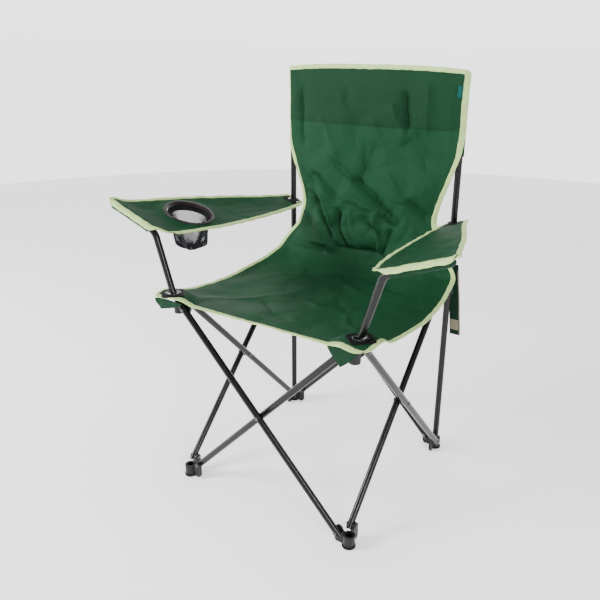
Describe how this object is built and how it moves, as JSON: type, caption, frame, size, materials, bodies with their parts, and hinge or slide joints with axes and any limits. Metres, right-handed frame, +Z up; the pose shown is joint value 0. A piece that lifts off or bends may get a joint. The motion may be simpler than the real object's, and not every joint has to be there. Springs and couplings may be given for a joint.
{
  "type": "folding camp chair",
  "caption": "Folding camp chair: scissor frame of black steel tube with a green fabric sling seat, pocketed back, two fabric armrests and a net cup holder.",
  "frame": {"origin": "middle of the chair's box, on the floor", "axes": "+Z up, +Y towards the back of the chair, +X to the right of someone facing the chair"},
  "size_m": [0.804, 0.5156, 0.936],
  "materials": {
    "hub_plastic": "satin moulded",
    "tube_paint": "gloss black powder coat",
    "rivet_steel": "blackened",
    "spacer_plastic": "matte",
    "cap_plastic": "satin",
    "green_cloth": "woven polyester",
    "patch_cloth": "woven reinforcement",
    "eyelet_metal": "black lacquer",
    "ring_plastic": "satin",
    "rim_plastic": "dark brown-black",
    "net_mesh": "open knit net",
    "tab_cloth": "woven",
    "strap_cloth": "woven"
  },
  "bodies": {
    "rear_right_post": {"foot_rr": "hub_plastic", "foot_rivets_rr": "rivet_steel", "post_r": "tube_paint", "post_cap_r": "cap_plastic", "pocket_r": "green_cloth", "back_panel": "green_cloth", "side_tab": "tab_cloth", "hang_strap": "strap_cloth"},
    "rear_left_post": {"foot_rl": "hub_plastic", "foot_rivets_rl": "rivet_steel", "post_l": "tube_paint", "post_cap_l": "cap_plastic", "pocket_l": "green_cloth"},
    "front_right_foot": {"foot_fr": "hub_plastic", "foot_rivets_fr": "rivet_steel"},
    "front_left_foot": {"foot_fl": "hub_plastic", "foot_rivets_fl": "rivet_steel"},
    "front_right_hub": {"hub_fr": "hub_plastic", "hub_rivets_fr": "rivet_steel"},
    "front_left_hub": {"hub_fl": "hub_plastic", "hub_rivets_fl": "rivet_steel"},
    "rear_right_slider": {"slider_rr": "hub_plastic", "slider_rivets_rr": "rivet_steel"},
    "rear_left_slider": {"slider_rl": "hub_plastic", "slider_rivets_rl": "rivet_steel"},
    "right_tube_outer": {"right_tube_outer": "tube_paint", "rivet_right": "rivet_steel", "spacer_right": "spacer_plastic"},
    "right_tube_inner": {"right_tube_inner": "tube_paint"},
    "back_tube_outer": {"back_tube_outer": "tube_paint"},
    "back_tube_inner": {"back_tube_inner": "tube_paint", "rivet_back": "rivet_steel", "spacer_back": "spacer_plastic"},
    "left_tube_outer": {"left_tube_outer": "tube_paint"},
    "left_tube_inner": {"left_tube_inner": "tube_paint", "rivet_left": "rivet_steel", "spacer_left": "spacer_plastic"},
    "left_arm_tube": {"front_tube_outer": "tube_paint", "rivet_front": "rivet_steel", "spacer_front": "spacer_plastic", "tip_cap_l": "cap_plastic", "corner_patch_l": "patch_cloth", "corner_eyelet_l": "eyelet_metal", "corner_flap_l": "green_cloth", "arm_sleeve_l": "green_cloth"},
    "right_arm_tube": {"front_tube_inner": "tube_paint", "tip_cap_r": "cap_plastic", "corner_patch_r": "patch_cloth", "corner_eyelet_r": "eyelet_metal", "corner_flap_r": "green_cloth", "arm_sleeve_r": "green_cloth"},
    "seat_front": {"seat_front": "green_cloth"},
    "seat_rear": {"seat_rear": "green_cloth"},
    "right_arm_ring": {"arm_ring_r": "ring_plastic"},
    "left_arm_ring": {"arm_ring_l": "ring_plastic"},
    "right_armrest": {"armrest_r": "green_cloth"},
    "left_armrest": {"armrest_l": "green_cloth", "cup_rim": "rim_plastic", "cup_net": "net_mesh"}
  },
  "joints": [
    {"name": "fold", "type": "hinge", "parent": "rear_right_post", "child": "right_tube_outer", "pos_m": [0.23605, 0.2122, 0.033], "axis": [-1, 0, 0], "range_deg": [0, 39], "deforming": ["back_panel", "seat_front", "seat_rear", "armrest_l", "armrest_r", "cup_net"]},
    {"name": "right_cross", "type": "hinge", "parent": "right_tube_outer", "child": "right_tube_inner", "pos_m": [0.225, 0.0122, 0.24], "axis": [-1, 0, 0], "range_deg": [-78, 0]},
    {"name": "rear_right_slider_pivot", "type": "hinge", "parent": "right_tube_inner", "child": "rear_right_slider", "pos_m": [0.21395, 0.2122, 0.447], "axis": [-1, 0, 0], "range_deg": [0, 39]},
    {"name": "front_right_foot_pivot", "type": "hinge", "parent": "right_tube_inner", "child": "front_right_foot", "pos_m": [0.21395, -0.1878, 0.033], "axis": [-1, 0, 0], "range_deg": [0, 39]},
    {"name": "front_right_hub_pivot", "type": "hinge", "parent": "right_tube_outer", "child": "front_right_hub", "pos_m": [0.23605, -0.1878, 0.447], "axis": [-1, 0, 0], "range_deg": [-39, 0]},
    {"name": "back_inner_foot_pivot", "type": "hinge", "parent": "rear_right_post", "child": "back_tube_inner", "pos_m": [0.2, 0.22615, 0.033], "axis": [0, 1, 0], "range_deg": [0, 39]},
    {"name": "back_cross", "type": "hinge", "parent": "back_tube_inner", "child": "back_tube_outer", "pos_m": [0, 0.2372, 0.24], "axis": [0, 1, 0], "range_deg": [-78, 0]},
    {"name": "rear_left_foot_pivot", "type": "hinge", "parent": "back_tube_outer", "child": "rear_left_post", "pos_m": [-0.2, 0.24825, 0.033], "axis": [0, 1, 0], "range_deg": [0, 39]},
    {"name": "rear_left_slider_pivot", "type": "hinge", "parent": "back_tube_inner", "child": "rear_left_slider", "pos_m": [-0.2, 0.22615, 0.447], "axis": [0, 1, 0], "range_deg": [-39, 0]},
    {"name": "left_inner_foot_pivot", "type": "hinge", "parent": "rear_left_post", "child": "left_tube_inner", "pos_m": [-0.21395, 0.2122, 0.033], "axis": [-1, 0, 0], "range_deg": [0, 39]},
    {"name": "left_cross", "type": "hinge", "parent": "left_tube_inner", "child": "left_tube_outer", "pos_m": [-0.225, 0.0122, 0.24], "axis": [-1, 0, 0], "range_deg": [-78, 0]},
    {"name": "front_left_foot_pivot", "type": "hinge", "parent": "left_tube_outer", "child": "front_left_foot", "pos_m": [-0.23605, -0.1878, 0.033], "axis": [-1, 0, 0], "range_deg": [0, 39]},
    {"name": "front_left_hub_pivot", "type": "hinge", "parent": "left_tube_inner", "child": "front_left_hub", "pos_m": [-0.21395, -0.1878, 0.447], "axis": [-1, 0, 0], "range_deg": [-39, 0]},
    {"name": "front_outer_foot_pivot", "type": "hinge", "parent": "front_right_foot", "child": "left_arm_tube", "pos_m": [0.2, -0.22385, 0.033], "axis": [0, 1, 0], "range_deg": [0, 39]},
    {"name": "front_cross", "type": "hinge", "parent": "left_arm_tube", "child": "right_arm_tube", "pos_m": [0, -0.2128, 0.24], "axis": [0, 1, 0], "range_deg": [-78, 0]},
    {"name": "seat_front_fold", "type": "hinge", "parent": "front_right_hub", "child": "seat_front", "pos_m": [0, -0.2238, 0.47], "axis": [-1, 0, 0], "range_deg": [0, 82.3]},
    {"name": "seat_rear_fold", "type": "hinge", "parent": "rear_right_post", "child": "seat_rear", "pos_m": [0, 0.2082, 0.482], "axis": [1, 0, 0], "range_deg": [0, 75.7]},
    {"name": "right_ring_slide", "type": "slide", "parent": "rear_right_post", "child": "right_arm_ring", "axis": [0, 0, 1], "range_m": [0, 0.0301]},
    {"name": "right_armrest_fold", "type": "hinge", "parent": "right_arm_ring", "child": "right_armrest", "pos_m": [0.225, 0.2372, 0.603], "axis": [-0.8662, -0.3765, -0.3285], "range_deg": [0, 65.95]},
    {"name": "left_ring_slide", "type": "slide", "parent": "rear_left_post", "child": "left_arm_ring", "axis": [0, 0, 1], "range_m": [0, 0.0301]},
    {"name": "left_armrest_fold", "type": "hinge", "parent": "left_arm_ring", "child": "left_armrest", "pos_m": [-0.225, 0.2372, 0.603], "axis": [-0.8466, 0.4401, 0.2993], "range_deg": [0, 61.64]}
  ],
  "couplings": [
    {"joint": "right_cross", "follows": "fold", "ratio": -2},
    {"joint": "rear_right_slider_pivot", "follows": "fold", "ratio": 1},
    {"joint": "front_right_foot_pivot", "follows": "fold", "ratio": 1},
    {"joint": "front_right_hub_pivot", "follows": "fold", "ratio": -1},
    {"joint": "back_inner_foot_pivot", "follows": "fold", "ratio": 1},
    {"joint": "back_cross", "follows": "fold", "ratio": -2},
    {"joint": "rear_left_foot_pivot", "follows": "fold", "ratio": 1},
    {"joint": "rear_left_slider_pivot", "follows": "fold", "ratio": -1},
    {"joint": "left_inner_foot_pivot", "follows": "fold", "ratio": 1},
    {"joint": "left_cross", "follows": "fold", "ratio": -2},
    {"joint": "front_left_foot_pivot", "follows": "fold", "ratio": 1},
    {"joint": "front_left_hub_pivot", "follows": "fold", "ratio": -1},
    {"joint": "front_outer_foot_pivot", "follows": "fold", "ratio": 1},
    {"joint": "front_cross", "follows": "fold", "ratio": -2},
    {"joint": "seat_front_fold", "follows": "fold", "ratio": 2.1103},
    {"joint": "seat_rear_fold", "follows": "fold", "ratio": 1.941},
    {"joint": "right_ring_slide", "follows": "fold", "m_per_rad": 0.044074},
    {"joint": "right_armrest_fold", "follows": "fold", "ratio": 1.691},
    {"joint": "left_ring_slide", "follows": "fold", "m_per_rad": 0.044074},
    {"joint": "left_armrest_fold", "follows": "fold", "ratio": 1.5805}
  ]
}
